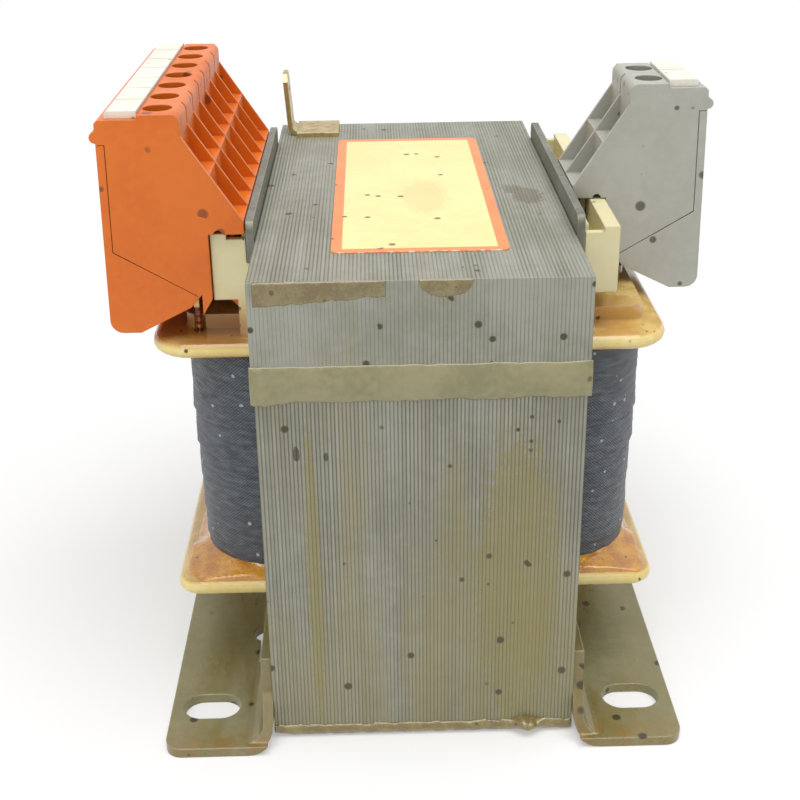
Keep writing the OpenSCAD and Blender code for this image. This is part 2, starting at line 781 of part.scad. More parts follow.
// What an end cover takes up of the outline; shrink draws it smaller by the seam
module cover_zone(shrink) {
    far = strip_in;
    high = module_top + cover_rim;
    low = leg_tip_z - cover_rim;
    rim = cover_rim + shrink;
    toe_u = leg_out + cover_toe_out;
    shoulder_z = module_top - cover_shoulder;
    polygon([[far, high], [module_out + ridge_r, high], [module_out + ridge_r, shoulder_z + shrink],
        [back_u(shoulder_z) - rim, shoulder_z + shrink],
        [back_u(cover_corner_z) - rim, cover_corner_z + shrink], [toe_u, cover_toe_z + shrink],
        [toe_u, low], [far, low]]);
}

module terminal_module(front, covered) {
    back = front + pole_pitch - module_gap;
    fin_front = front + body_w;
    middle = front + body_w / 2;
    hole_rise = wire_hole_rise + wire_hole_d / 2;
    difference() {
        union() {
            upright(front, fin_front) difference() {
                module_outline();
                ledge_cut();
                chamber_cut();
            }
            upright(fin_front, back) difference() {
                module_outline();
                joint_groove();
            }
            upright(middle - latch_w / 2, middle + latch_w / 2) latch_outline();
            if (covered) upright(front - cover_t, front) difference() {
                module_outline();
                cover_zone(0);
            }
        }
        translate([driver_u, middle, chamber_top - eps])
            cylinder(d = driver_d, h = module_top - chamber_top + 2 * eps);
        translate([throat_u - eps, middle, upper_z + hole_rise]) rotate([0, 90, 0])
            cylinder(d = wire_hole_d, h = chamber_in - throat_u + 2 * eps);
        translate([ledge_u - eps, middle, nose_z + hole_rise]) rotate([0, 90, 0])
            cylinder(d = wire_hole_d, h = chamber_in - ledge_u + 2 * eps);
    }
}

module end_cover(front) {
    upright(front - cover_t, front - module_gap) intersection() {
        module_outline();
        cover_zone(cover_gap);
    }
}

module marker_strip(front, count) {
    length = count * pole_pitch - cover_t;
    base = module_top - marker_sink;
    inner = marker_in + marker_gap;
    top = base + marker_t;
    difference() {
        upright(front, front + length)
            polygon([[inner, base], [marker_out, base], [marker_out, top - marker_bevel],
                [marker_out - marker_bevel, top], [inner, top]]);
        if (count > 1) for (i = [1 : count - 1])
            translate([inner - eps, front + i * pole_pitch - marker_groove_w / 2, top - marker_groove_d])
                cube([marker_w, marker_groove_w, marker_groove_d + eps]);
    }
}

// ---------------------------------------------------------------- clamps, contacts and leads

module clamp_screw(y) {
    head_z = cage_top;
    translate([driver_u, y, 0]) difference() {
        union() {
            translate([0, 0, head_z]) cylinder(d = screw_head_d, h = screw_head_h);
            translate([0, 0, bar_z + bar_t]) cylinder(d = screw_d, h = head_z - bar_z - bar_t + eps);
        }
        translate([-screw_head_d, -screw_slot / 2, head_z + screw_head_h / 2])
            cube([2 * screw_head_d, screw_slot, screw_head_h]);
    }
}

// A rectangular ring round the contact bar, open along the wire, with the screw through its top
module clamp_cage(y) {
    inner_w = cage_w - 2 * cage_wall;
    translate([driver_u, y, cage_z]) difference() {
        translate([-cage_depth / 2, -cage_w / 2, 0]) cube([cage_depth, cage_w, cage_h]);
        translate([-cage_depth / 2 - eps, -inner_w / 2, cage_wall])
            cube([cage_depth + 2 * eps, inner_w, cage_h - 2 * cage_wall]);
        translate([0, 0, cage_h - cage_wall - eps]) cylinder(d = screw_d, h = cage_wall + 2 * eps);
    }
}

// The bar lies in the cage, turns down behind it, runs under it and ends as the solder tag
module contact_bar(y) {
    cage_in = driver_u - cage_depth / 2;
    turn_z = chamber_lo + bar_rise;
    upright(y - bar_w / 2, y + bar_w / 2) union() {
        translate([cage_in, bar_z]) square([bar_down_u + bar_t - cage_in, bar_t]);
        translate([bar_down_u, turn_z]) square([bar_t, bar_z + bar_t - turn_z]);
        translate([tag_u, turn_z]) square([bar_down_u + bar_t - tag_u, bar_t]);
        translate([tag_u, tag_z]) square([bar_t, turn_z + bar_t - tag_z]);
    }
}

// A wire from the top of a winding, along under the flange and up to a solder tag
module lead(y, d, start_u) {
    run_z = winding_hi + d / 2;
    bend_u = lead_u - lead_bend_r;
    bend_z = run_z + lead_bend_r;
    if (start_u < bend_u) {
        translate([start_u, y, run_z]) rotate([0, 90, 0]) cylinder(d = d, h = bend_u - start_u);
        translate([bend_u, y, bend_z]) rotate([90, 90, 0])
            rotate_extrude(angle = 90) translate([lead_bend_r, 0]) circle(d = d);
        translate([lead_u, y, bend_z]) cylinder(d = d, h = tag_z - bend_z);
    } else {
        translate([lead_u, y, winding_hi]) cylinder(d = d, h = tag_z - winding_hi);
    }
}

module sleeve(y) {
    translate([lead_u, y, pad_top]) difference() {
        cylinder(d = sleeve_d, h = tag_z - pad_top - sleeve_gap);
        translate([0, 0, -eps]) cylinder(d = secondary_wire_d + 2 * sleeve_gap, h = tag_z - pad_top);
    }
}

module primary_end_cover() {
    color("darkorange") on_side(primary_side) end_cover(primary_front);
}

module primary_marker() {
    color("white") on_side(primary_side) marker_strip(primary_front, primary_poles);
}

module primary_screws() {
    color("silver") on_side(primary_side) for (y = primary_centres) clamp_screw(y);
}

module primary_clamps() {
    color("silver") on_side(primary_side) for (y = primary_centres) clamp_cage(y);
}

module primary_contacts() {
    color("gold") on_side(primary_side) for (y = primary_centres) contact_bar(y);
}

module primary_leads() {
    color("peru") on_side(primary_side)
        for (y = primary_centres) lead(y, primary_wire_d, primary_lead_u);
}

module secondary_end_cover() {
    color("gray") on_side(secondary_side) end_cover(-secondary_front);
}

module secondary_marker() {
    color("white") on_side(secondary_side) marker_strip(-secondary_front, secondary_poles);
}

module secondary_screws() {
    color("silver") on_side(secondary_side) for (y = secondary_centres) clamp_screw(y);
}

module secondary_clamps() {
    color("silver") on_side(secondary_side) for (y = secondary_centres) clamp_cage(y);
}

module secondary_contacts() {
    color("gold") on_side(secondary_side) for (y = secondary_centres) contact_bar(y);
}

module secondary_leads() {
    color("peru") on_side(secondary_side)
        for (y = secondary_centres) lead(y, secondary_wire_d, lead_u);
}

module lead_sleeves() {
    color("saddlebrown") on_side(secondary_side) for (y = secondary_centres) sleeve(y);
}

module primary_terminal(i) {
    color("darkorange") on_side(primary_side)
        terminal_module(primary_front + i * pole_pitch, i == 0);
}

module secondary_terminal(i) {
    color("gray") on_side(secondary_side)
        terminal_module(-secondary_front + i * pole_pitch, i == 0);
}

// ---------------------------------------------------------------- earth tab and label

module earth_tab() {
    x0 = tab_inset_x - e_half;
    y0 = core_depth / 2 - tab_inset_y - tab_base_y;
    middle = y0 + tab_base_y / 2;
    tip_z = core_top + tab_h;
    bend = [x0 + tab_t + tab_bend_r, core_top + tab_t + tab_bend_r];
    chamfer = tab_chamfer * sqrt(2);
    reach = tab_lean + tab_t + 2 * eps;
    color("darkgoldenrod") union() {
        translate([bend[0], y0, core_top]) cube([x0 + tab_base_x - bend[0], tab_base_y, tab_t]);
        difference() {
            upright(middle - tab_w / 2, middle + tab_w / 2) polygon(concat(
                arc(bend, tab_bend_r + tab_t, 180, 270), arc(bend, tab_bend_r, 270, 180),
                [[x0 + tab_t - tab_lean, tip_z], [x0 - tab_lean, tip_z]]));
            for (side = [-1, 1]) translate([x0 - tab_lean - eps, middle + side * tab_w / 2, tip_z])
                rotate([45, 0, 0]) translate([0, -chamfer / 2, -chamfer / 2])
                    cube([reach, chamfer, chamfer]);
            translate([x0 - tab_lean - eps, middle, tip_z - tab_w / 2]) rotate([0, 90, 0])
                cylinder(d = tab_hole_d, h = reach);
        }
    }
}

module rating_label() {
    color("khaki") translate([label_right, -label_forward, core_top]) linear_extrude(label_t)
        polygon(round_rect(label_w, label_len, label_corner_r));
}

e_laminations();
i_laminations();
weld_seam_front();
weld_seam_rear();
bobbin();
primary_winding();
winding_insulation();
secondary_winding();
outer_wrap();
foot_left();
foot_right();
foot_welds();
strip_left();
strip_right();
primary_terminal(0);  // primary_terminal_1
primary_terminal(1);  // primary_terminal_2
primary_terminal(2);  // primary_terminal_3
primary_terminal(3);  // primary_terminal_4
primary_terminal(4);  // primary_terminal_5
primary_terminal(5);  // primary_terminal_6
primary_terminal(6);  // primary_terminal_7
primary_end_cover();
primary_marker();
primary_screws();
primary_clamps();
primary_contacts();
primary_leads();
secondary_terminal(0);  // secondary_terminal_1
secondary_terminal(1);  // secondary_terminal_2
secondary_end_cover();
secondary_marker();
secondary_screws();
secondary_clamps();
secondary_contacts();
secondary_leads();
lead_sleeves();
earth_tab();
rating_label();
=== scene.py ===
# Looks of a laminated chassis transformer: varnished core and feet, taped coil, moulded bobbin,
# clip-on terminal modules, printed label. Sizes here are in millimetres, Blender's are in metres.
import math

import bmesh
import bpy
from mathutils import Matrix, Vector, noise


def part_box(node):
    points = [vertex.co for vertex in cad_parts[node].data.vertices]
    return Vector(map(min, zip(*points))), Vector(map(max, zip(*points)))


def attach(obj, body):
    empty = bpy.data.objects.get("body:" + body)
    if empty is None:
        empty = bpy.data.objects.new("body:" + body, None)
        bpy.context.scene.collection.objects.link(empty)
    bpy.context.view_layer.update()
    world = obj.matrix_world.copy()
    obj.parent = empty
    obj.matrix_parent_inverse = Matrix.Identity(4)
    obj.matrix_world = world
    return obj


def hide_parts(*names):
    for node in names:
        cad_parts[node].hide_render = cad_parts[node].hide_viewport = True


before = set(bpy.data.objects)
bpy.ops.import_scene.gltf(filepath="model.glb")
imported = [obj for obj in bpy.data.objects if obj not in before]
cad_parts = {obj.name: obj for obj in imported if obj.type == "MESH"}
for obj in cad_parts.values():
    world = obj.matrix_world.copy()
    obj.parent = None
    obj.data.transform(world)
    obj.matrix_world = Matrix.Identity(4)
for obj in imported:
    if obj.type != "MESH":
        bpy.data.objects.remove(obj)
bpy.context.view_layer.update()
scene = bpy.context.scene
MM = 0.001


# ---------------------------------------------------------------- places taken from the frame

def box_mm(node):
    """Lowest and highest corners of a CAD node, in millimetres."""
    low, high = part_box(node)
    return low / MM, high / MM


E_LOW, E_HIGH = box_mm("e_laminations")
_, I_HIGH = box_mm("i_laminations")
WRAP_LOW, WRAP_HIGH = box_mm("outer_wrap")
BOBBIN_LOW, BOBBIN_HIGH = box_mm("bobbin")
SEAM_LOW, SEAM_HIGH = box_mm("weld_seam_front")
LABEL_LOW, LABEL_HIGH = box_mm("rating_label")

CORE_FRONT = E_LOW.y
CORE_TOP = I_HIGH.z
CORE_FOOT = E_LOW.z
SHEET_PITCH = 0.52
FLANGE_T = 2.3
LOWER_FLANGE_TOP = BOBBIN_LOW.z + FLANGE_T
UPPER_FLANGE_FOOT = WRAP_HIGH.z + 1.1
UPPER_FLANGE_TOP = UPPER_FLANGE_FOOT + FLANGE_T
WRAP_CORNER = 10.9


# ---------------------------------------------------------------- camera

def add_camera():
    """Looks down at the front and the top from a little left of the middle."""
    yaw, pitch, roll = 0.020, -0.416, -0.013
    place = Vector((-5.816, -195.559, 127.74))
    ahead = Vector((math.sin(yaw) * math.cos(pitch), math.cos(yaw) * math.cos(pitch), math.sin(pitch)))
    level = ahead.cross(Vector((0, 0, 1))).normalized()
    right = level * math.cos(roll) + level.cross(ahead) * math.sin(roll)
    up = right.cross(ahead)
    lens = bpy.data.cameras.new("camera")
    lens.sensor_width = 36
    lens.lens = 58.57
    lens.shift_y = -0.047
    camera = bpy.data.objects.new("camera", lens)
    turn = Matrix((right, up, -ahead)).transposed().to_4x4()
    camera.matrix_world = Matrix.Translation(place * MM) @ turn
    scene.collection.objects.link(camera)
    scene.camera = camera


add_camera()


# ---------------------------------------------------------------- node trees

class Net:
    """Adds nodes to one tree and joins them. Every method returns the new socket."""

    def __init__(self, tree):
        self.tree = tree

    def put(self, socket, value):
        """Links a socket, or writes a plain value."""
        if isinstance(value, bpy.types.NodeSocket):
            self.tree.links.new(value, socket)
        else:
            socket.default_value = value

    def node(self, kind, inputs=None, **settings):
        made = self.tree.nodes.new(kind)
        for key, value in settings.items():
            setattr(made, key, value)
        for key, value in (inputs or {}).items():
            self.put(made.inputs[key], value)
        return made

    def math(self, operation, a, b=0.0, c=0.0):
        return self.node("ShaderNodeMath", {0: a, 1: b, 2: c}, operation=operation).outputs[0]

    def add(self, *terms):
        total = terms[0]
        for term in terms[1:]:
            total = self.math("ADD", total, term)
        return total

    def times(self, *terms):
        total = terms[0]
        for term in terms[1:]:
            total = self.math("MULTIPLY", total, term)
        return total

    def most(self, *terms):
        total = terms[0]
        for term in terms[1:]:
            total = self.math("MAXIMUM", total, term)
        return total

    def rest(self, share):
        """What a share leaves of the whole."""
        return self.math("SUBTRACT", 1.0, share)

    def size(self, value):
        return self.math("ABSOLUTE", value)

    def ramp(self, value, start, end, low=0.0, high=1.0):
        """Goes smoothly from low at start to high at end, and stays there."""
        return self.node("ShaderNodeMapRange", {0: value, 1: start, 2: end, 3: low, 4: high},
                         interpolation_type="SMOOTHSTEP").outputs[0]

    def band(self, value, start, full, fading, end):
        """Rises from 0 to 1 between the first two values and falls back between the last two."""
        return self.times(self.ramp(value, start, full), self.ramp(value, end, fading))

    def mix(self, share, a, b):
        """Colour a, with a share of colour b."""
        return self.node("ShaderNodeMix", {0: share, 6: a, 7: b}, data_type="RGBA").outputs[2]

    def place(self):
        """Position on the object in millimetres."""
        where = self.node("ShaderNodeTexCoord").outputs["Object"]
        return self.node("ShaderNodeVectorMath", {0: where, 3: 1000.0}, operation="SCALE").outputs[0]

    def stretch(self, where, factors):
        return self.node("ShaderNodeVectorMath", {0: where, 1: factors}, operation="MULTIPLY").outputs[0]

    def parts(self, vector):
        made = self.node("ShaderNodeSeparateXYZ", {0: vector})
        return made.outputs[0], made.outputs[1], made.outputs[2]

    def noise(self, where, scale, detail=3.0, rough=0.55):
        made = self.node("ShaderNodeTexNoise",
                         {"Vector": where, "Scale": scale, "Detail": detail, "Roughness": rough})
        return made.outputs[0]

    def bump(self, height, distance, strength=1.0, normal=None):
        """Normal for a height from 0 to 1 that stands this many millimetres high."""
        inputs = {"Height": height, "Strength": strength, "Distance": distance * MM}
        if normal is not None:
            inputs["Normal"] = normal
        return self.node("ShaderNodeBump", inputs).outputs[0]

    def use(self, group, **given):
        """Places an effect; given holds its inputs by name, with _ for a space."""
        made = self.tree.nodes.new("ShaderNodeGroup")
        made.node_tree = group
        for key, value in given.items():
            self.put(made.inputs[key.replace("_", " ")], value)
        return made.outputs


def paint(red, green, blue):
    """Linear colour of a tone given from 0 to 255."""
    shares = [c / 255 for c in (red, green, blue)]
    return tuple(c / 12.92 if c < 0.04045 else ((c + 0.055) / 1.055) ** 2.4 for c in shares) + (1.0,)


def effect(name, inputs, outputs, build):
    """A shader node group with named inputs and outputs."""
    group = bpy.data.node_groups.new(name, "ShaderNodeTree")
    for title, kind, value in inputs:
        socket = group.interface.new_socket(title, in_out="INPUT", socket_type="NodeSocket" + kind)
        socket.default_value = value
    for title, kind in outputs:
        group.interface.new_socket(title, in_out="OUTPUT", socket_type="NodeSocket" + kind)
    net = Net(group)
    given = group.nodes.new("NodeGroupInput").outputs
    results = group.nodes.new("NodeGroupOutput").inputs
    for title, socket in build(net, given).items():
        group.links.new(socket, results[title])
    return group


# ---------------------------------------------------------------- effects that materials share

def build_mottle(net, given):
    """Two tones in broad clouds broken up by finer ones."""
    where = net.place()
    broad = net.noise(where, given["Scale"], 3.0, 0.6)
    fine = net.noise(where, net.times(given["Scale"], 9.0), 3.0, 0.6)
    cloud = net.add(net.times(broad, 0.65), net.times(fine, 0.35))
    mask = net.ramp(cloud, 0.38, 0.62)
    return {"Color": net.mix(mask, given["Tone"], given["Other Tone"]), "Mask": mask}


def build_specks(net, given):
    """Round dots of dirt in a few cells, each of its own size."""
    cells = net.node("ShaderNodeTexVoronoi", {"Vector": net.place(), "Scale": given["Scale"]})
    draw, _, size = net.parts(cells.outputs["Color"])
    rare = net.math("LESS_THAN", draw, given["Share"])
    reach = net.ramp(size, 0.0, 1.0, 0.12, 0.42)
    dot = net.rest(net.ramp(cells.outputs["Distance"], net.times(reach, 0.6), reach))
    mask = net.times(rare, dot)
    return {"Color": net.mix(mask, given["Color"], given["Speck"]), "Mask": mask}


def build_film(net, given):
    """Patches of varnish, drawn out along the run."""
    where = net.stretch(net.place(), given["Run"])
    cloud = net.noise(where, given["Scale"], 4.0, 0.6)
    mask = net.ramp(net.add(cloud, given["Cover"]), 0.85, 1.15)
    tint = net.mix(net.times(mask, given["Depth"]), given["Color"], given["Film"])
    return {"Color": tint, "Mask": mask}


def build_soft_edge(net, given):
    """Rounds the edges for the eye, and finds them for painted edge highlights."""
    bevel = net.node("ShaderNodeBevel", {"Radius": net.times(given["Radius"], MM)}, samples=4).outputs[0]
    flat = net.node("ShaderNodeNewGeometry").outputs["True Normal"]
    turn = net.node("ShaderNodeVectorMath", {0: bevel, 1: flat}, operation="DOT_PRODUCT").outputs["Value"]
    return {"Normal": bevel, "Edge": net.ramp(net.rest(turn), 0.01, 0.2)}


def build_spot(net, given):
    """One torn-edged blot at a place."""
    where = net.place()
    offset = net.node("ShaderNodeVectorMath", {0: where, 1: given["Centre"]}, operation="SUBTRACT").outputs[0]
    share = net.node("ShaderNodeVectorMath", {0: offset, 1: given["Reach"]}, operation="DIVIDE").outputs[0]
    far = net.node("ShaderNodeVectorMath", {0: share}, operation="LENGTH").outputs["Value"]
    cloud = net.noise(where, 1.3, 4.0, 0.65)
    torn = net.add(far, net.times(net.math("SUBTRACT", cloud, 0.5), given["Ragged"]))
    return {"Mask": net.ramp(torn, 0.75, 1.0, 1.0, 0.0)}


def build_sheet_lines(net, given):
    """One ridge per sheet across x, each sheet with its own tone; none on uncut faces."""
    x, _, _ = net.parts(net.place())
    count = net.math("DIVIDE", net.add(x, given["Half Stack"]), SHEET_PITCH)
    part = net.math("FRACT", count)
    centred = net.size(net.math("SUBTRACT", net.times(part, 2.0), 1.0))
    ridge = net.ramp(centred, 0.35, 0.9, 1.0, 0.0)
    tone = net.node("ShaderNodeTexWhiteNoise", {"W": net.math("FLOOR", count)},
                    noise_dimensions="1D").outputs["Value"]
    across, _, _ = net.parts(net.node("ShaderNodeNewGeometry").outputs["True Normal"])
    cut = net.math("LESS_THAN", net.size(across), 0.5)
    return {"Ridge": ridge, "Tone": tone, "Cut": cut}


COLOR, FLOAT, VECTOR = "Color", "Float", "Vector"
GREY = paint(128, 128, 128)
MOTTLE = effect("Mottle", [("Tone", COLOR, GREY), ("Other Tone", COLOR, GREY), ("Scale", FLOAT, 0.2)],
                [("Color", COLOR), ("Mask", FLOAT)], build_mottle)
SPECKS = effect("Specks", [("Color", COLOR, GREY), ("Speck", COLOR, GREY), ("Scale", FLOAT, 1.0),
                           ("Share", FLOAT, 0.1)],
                [("Color", COLOR), ("Mask", FLOAT)], build_specks)
FILM = effect("Varnish film", [("Color", COLOR, GREY), ("Film", COLOR, GREY), ("Cover", FLOAT, 0.5),
                               ("Depth", FLOAT, 0.8), ("Scale", FLOAT, 0.2), ("Run", VECTOR, (1, 1, 1))],
              [("Color", COLOR), ("Mask", FLOAT)], build_film)
SOFT_EDGE = effect("Soft edge", [("Radius", FLOAT, 0.3)], [("Normal", VECTOR), ("Edge", FLOAT)],
                   build_soft_edge)
SPOT = effect("Spot", [("Centre", VECTOR, (0, 0, 0)), ("Reach", VECTOR, (1, 1, 1)), ("Ragged", FLOAT, 0.5)],
              [("Mask", FLOAT)], build_spot)
SHEET_LINES = effect("Sheet lines", [("Half Stack", FLOAT, 20.0)],
                     [("Ridge", FLOAT), ("Tone", FLOAT), ("Cut", FLOAT)], build_sheet_lines)


# ---------------------------------------------------------------- core, weld and sheet materials

def material(name, build):
    """A material whose Principled sockets get what build(net) returns by name."""
    made = bpy.data.materials.new(name)
    made.use_nodes = True
    shader = made.node_tree.nodes["Principled BSDF"]
    net = Net(made.node_tree)
    for title, value in build(net).items():
        net.put(shader.inputs[title], value)
    return made


def spot(net, centre, reach, ragged=0.5):
    """Mask of one blot: its centre, its reach along each axis, how torn its edge is."""
    return net.use(SPOT, Centre=centre, Reach=reach, Ragged=ragged)["Mask"]


def laminated_steel(name, half_stack, line_mask):
    """Cut edges of varnished sheets: fine ridges and grooves, olive varnish, stains."""
    def build(net):
        where = net.place()
        _, _, z = net.parts(where)
        lines = net.use(SHEET_LINES, Half_Stack=half_stack)
        contrast = net.times(lines["Cut"], line_mask(net, where))
        tone = net.use(MOTTLE, Tone=paint(158, 158, 146), Other_Tone=paint(142, 142, 128), Scale=0.05)
        steel = net.mix(net.times(lines["Tone"], contrast, 0.45), tone["Color"], paint(122, 121, 104))
        groove = net.rest(lines["Ridge"])
        lined = net.mix(net.times(groove, contrast, 0.75), steel, paint(94, 91, 66))
        low = net.ramp(z, 70.5, 8.0, -0.12, 0.16)
        film = net.use(FILM, Color=lined, Film=paint(137, 127, 76), Cover=net.add(low, 0.42), Depth=0.55,
                       Scale=0.16, Run=(1.0, 0.3, 0.14))
        streak = spot(net, (-15.0, CORE_FRONT, 27.0), (1.1, 3.0, 27.0), 0.9)
        streaks = net.most(streak, spot(net, (13.0, CORE_FRONT, 25.0), (6.0, 3.0, 26.0), 1.4))
        olive = net.mix(net.times(streaks, 0.5), film["Color"], paint(138, 126, 66))
        smudge = net.most(spot(net, (17.6, -6.0, CORE_TOP), (2.6, 4.6, 2.0), 1.6),
                          spot(net, (15.6, -2.5, CORE_TOP), (1.6, 2.6, 2.0), 1.8))
        dark = net.most(spot(net, (-18.4, 8.0, CORE_TOP), (0.45, 0.6, 1.0), 0.2),
                        spot(net, (18.2, CORE_FRONT, 50.9), (0.3, 1.0, 0.3), 0.2),
                        spot(net, (-16.7, CORE_FRONT, 46.8), (0.5, 1.0, 1.2), 0.8),
                        spot(net, (-12.8, CORE_FRONT, 46.3), (0.35, 1.0, 0.8), 0.8))
        dirty = net.mix(net.times(smudge, 0.55), olive, paint(92, 84, 52))
        spotted = net.mix(net.times(dark, 0.75), dirty, paint(58, 52, 36))
        specks = net.use(SPECKS, Color=spotted, Speck=paint(78, 70, 48), Scale=0.55, Share=0.10)
        grain = net.noise(net.stretch(where, (1.0, 0.25, 0.25)), 6.0, 2.0)
        height = net.add(net.times(lines["Ridge"], contrast), net.times(grain, 0.35))
        return {"Base Color": specks["Color"], "Metallic": 0.25,
                "Roughness": net.ramp(net.add(grain, film["Mask"]), 0.2, 1.4, 0.5, 0.3),
                "Coat Weight": net.times(film["Mask"], 0.35), "Coat Roughness": 0.2,
                "Normal": net.bump(height, 0.06, 0.6)}
    return material(name, build)


def e_line_mask(net, where):
    """Lines are strong all over the E pack and fade in patches."""
    return net.ramp(net.noise(net.stretch(where, (1.0, 0.4, 0.2)), 0.12, 2.0), 0.3, 0.55, 0.55, 1.0)


def i_line_mask(net, where):
    """On the I pack the lines are smeared over at the front's left third and near its top."""
    x, y, z = net.parts(where)
    front = net.math("LESS_THAN", y, CORE_FRONT + 0.3)
    faded = net.times(net.ramp(x, -13.0, 4.0, 0.05, 0.5), net.ramp(z, 71.0, 60.0, 0.4, 1.0))
    cloud = net.ramp(net.noise(net.stretch(where, (1.0, 0.08, 0.1)), 0.25, 2.0), 0.35, 0.65, 0.25, 1.0)
    return net.add(net.times(front, faded), net.times(net.rest(front), cloud))


def varnished_weld():
    """Weld seam drowned in clear olive varnish."""
    def build(net):
        where = net.place()
        tone = net.use(MOTTLE, Tone=paint(146, 139, 100), Other_Tone=paint(128, 123, 84), Scale=0.11)
        film = net.use(FILM, Color=tone["Color"], Film=paint(160, 154, 120), Cover=0.3, Depth=0.6,
                       Scale=0.35, Run=(0.6, 1.0, 1.4))
        specks = net.use(SPECKS, Color=film["Color"], Speck=paint(96, 84, 48), Scale=0.5, Share=0.08)
        return {"Base Color": specks["Color"], "Metallic": 0.1,
                "Roughness": net.ramp(tone["Mask"], 0.0, 1.0, 0.42, 0.28),
                "Coat Weight": 0.6, "Coat Roughness": 0.12,
                "Normal": net.bump(net.noise(where, 0.7, 3.0), 0.12, 0.5)}
    return material("varnished weld", build)


def foot_steel():
    """Plated sheet under a thin olive film, amber where varnish has run to the front edge and stayed, with
    painted shade near the core and painted highlight on its edges.
    """
    def build(net):
        where = net.place()
        x, y, _ = net.parts(where)
        edge = net.use(SOFT_EDGE, Radius=0.35)
        tone = net.use(MOTTLE, Tone=paint(150, 146, 112), Other_Tone=paint(134, 130, 98), Scale=0.07)
        film = net.use(FILM, Color=tone["Color"], Film=paint(126, 112, 56), Cover=0.48, Depth=0.75,
                       Scale=0.12, Run=(1.0, 0.35, 1.0))
        # Painted shade: brown near the core, where the transformer's body shades the foot.
        near = net.ramp(net.size(x), 27.5, 22.5)
        painted_shade_brown = net.mix(net.times(near, 0.45), film["Color"], paint(106, 88, 44))
        front = net.times(net.ramp(y, -40.0, -45.5), net.ramp(net.noise(where, 0.4, 3.0), 0.35, 0.6))
        wet = net.mix(net.times(front, 0.7), painted_shade_brown, paint(132, 100, 30))
        # Painted highlight along the foot's edges.
        bright = net.mix(net.times(edge["Edge"], 0.5), wet, paint(196, 190, 150))
        specks = net.use(SPECKS, Color=bright, Speck=paint(66, 56, 36), Scale=0.35, Share=0.12)
        scratch = net.noise(net.stretch(where, (0.3, 6.0, 6.0)), 1.2, 2.0)
        return {"Base Color": specks["Color"], "Metallic": 0.3,
                "Roughness": net.ramp(film["Mask"], 0.0, 1.0, 0.42, 0.26),
                "Coat Weight": net.most(net.times(film["Mask"], 0.5), front), "Coat Roughness": 0.15,
                "Normal": net.bump(net.add(scratch, net.times(film["Mask"], 0.6)), 0.05, 0.5,
                                   edge["Normal"])}
    return material("foot steel", build)


def strip_steel():
    """Dark oiled strip between yoke and rail, with painted highlight on its sheared edges."""
    def build(net):
        where = net.place()
        edge = net.use(SOFT_EDGE, Radius=0.25)
        tone = net.use(MOTTLE, Tone=paint(128, 127, 118), Other_Tone=paint(106, 104, 92), Scale=0.12)
        film = net.use(FILM, Color=tone["Color"], Film=paint(140, 130, 82), Cover=0.3, Depth=0.5,
                       Scale=0.3, Run=(1.0, 0.5, 1.0))
        # Painted highlight: the strip's edges are lightened.
        wear_and_highlight = net.mix(net.times(edge["Edge"], 0.6), film["Color"], paint(190, 188, 172))
        return {"Base Color": wear_and_highlight, "Metallic": 0.35,
                "Roughness": net.ramp(net.noise(where, 1.5, 3.0), 0.3, 0.7, 0.34, 0.5),
                "Normal": net.bump(net.noise(net.stretch(where, (4.0, 0.4, 4.0)), 2.0), 0.03, 0.5,
                                   edge["Normal"])}
    return material("strip steel", build)


# ---------------------------------------------------------------- bobbin, resin and tape materials

def bobbin_plastic():
    """Cream moulding, stained amber where varnish pooled on the flanges, with painted shade on the rails and
    on the left flange.
    """
    def build(net):
        where = net.place()
        x, _, z = net.parts(where)
        edge = net.use(SOFT_EDGE, Radius=0.3)
        tone = net.use(MOTTLE, Tone=paint(240, 222, 158), Other_Tone=paint(232, 208, 130), Scale=0.1)
        low, high, foot = LOWER_FLANGE_TOP, UPPER_FLANGE_TOP, UPPER_FLANGE_FOOT
        # Painted shade: the rails turn greyer towards their tops, standing for the shade of the terminal
        # modules above.
        rail = net.ramp(z, high + 1.2, high + 7.2)
        pale = net.mix(net.times(rail, 0.75), tone["Color"], paint(222, 217, 180))
        pool = net.most(net.band(z, low - 0.5, low - 0.05, low + 0.5, low + 4.5),
                        net.band(z, high - 0.6, high - 0.1, high + 0.7, high + 9.2))
        rim = net.band(z, foot - 0.1, foot + 0.1, foot + 0.2, foot + 1.0)
        stain = net.most(net.times(pool, net.ramp(net.noise(where, 0.16, 4.0), 0.3, 0.6, 0.35, 1.0)),
                         net.times(rim, 0.85))
        amber = net.mix(net.times(stain, 0.75), pale, paint(190, 134, 42))
        # Painted shade: brown over the left upper flange, pad and rails, under the orange module.
        left = net.times(net.ramp(x, -20.0, -26.0), net.band(z, high - 1.0, high, high + 1.2, high + 6.2))
        painted_shade_brown = net.mix(net.times(left, 0.6), amber, paint(150, 92, 30))
        specks = net.use(SPECKS, Color=painted_shade_brown, Speck=paint(96, 62, 24), Scale=0.8, Share=0.1)
        return {"Base Color": specks["Color"],
                "Roughness": net.ramp(stain, 0.0, 1.0, 0.42, 0.2),
                "Coat Weight": net.times(stain, 0.8), "Coat Roughness": 0.1,
                "Subsurface Weight": 0.12, "Subsurface Radius": (0.004, 0.0025, 0.001),
                "Normal": net.bump(net.noise(where, 0.9, 4.0), 0.08, 0.5, edge["Normal"])}
    return material("cream bobbin", build)


def resin(name, light, dark, relief=0.25):
    """Hardened impregnating varnish, thick enough to colour what lies under it."""
    def build(net):
        where = net.place()
        tone = net.use(MOTTLE, Tone=light, Other_Tone=dark, Scale=0.35)
        specks = net.use(SPECKS, Color=tone["Color"], Speck=paint(92, 58, 20), Scale=0.9, Share=0.08)
        return {"Base Color": specks["Color"], "Roughness": 0.22,
                "Coat Weight": 1.0, "Coat Roughness": 0.04,
                "Subsurface Weight": 0.15, "Subsurface Radius": (0.003, 0.0015, 0.0004),
                "Normal": net.bump(net.noise(where, 1.1, 4.0), relief, 0.7)}
    return material(name, build)


# ---------------------------------------------------------------- terminal, label and small materials

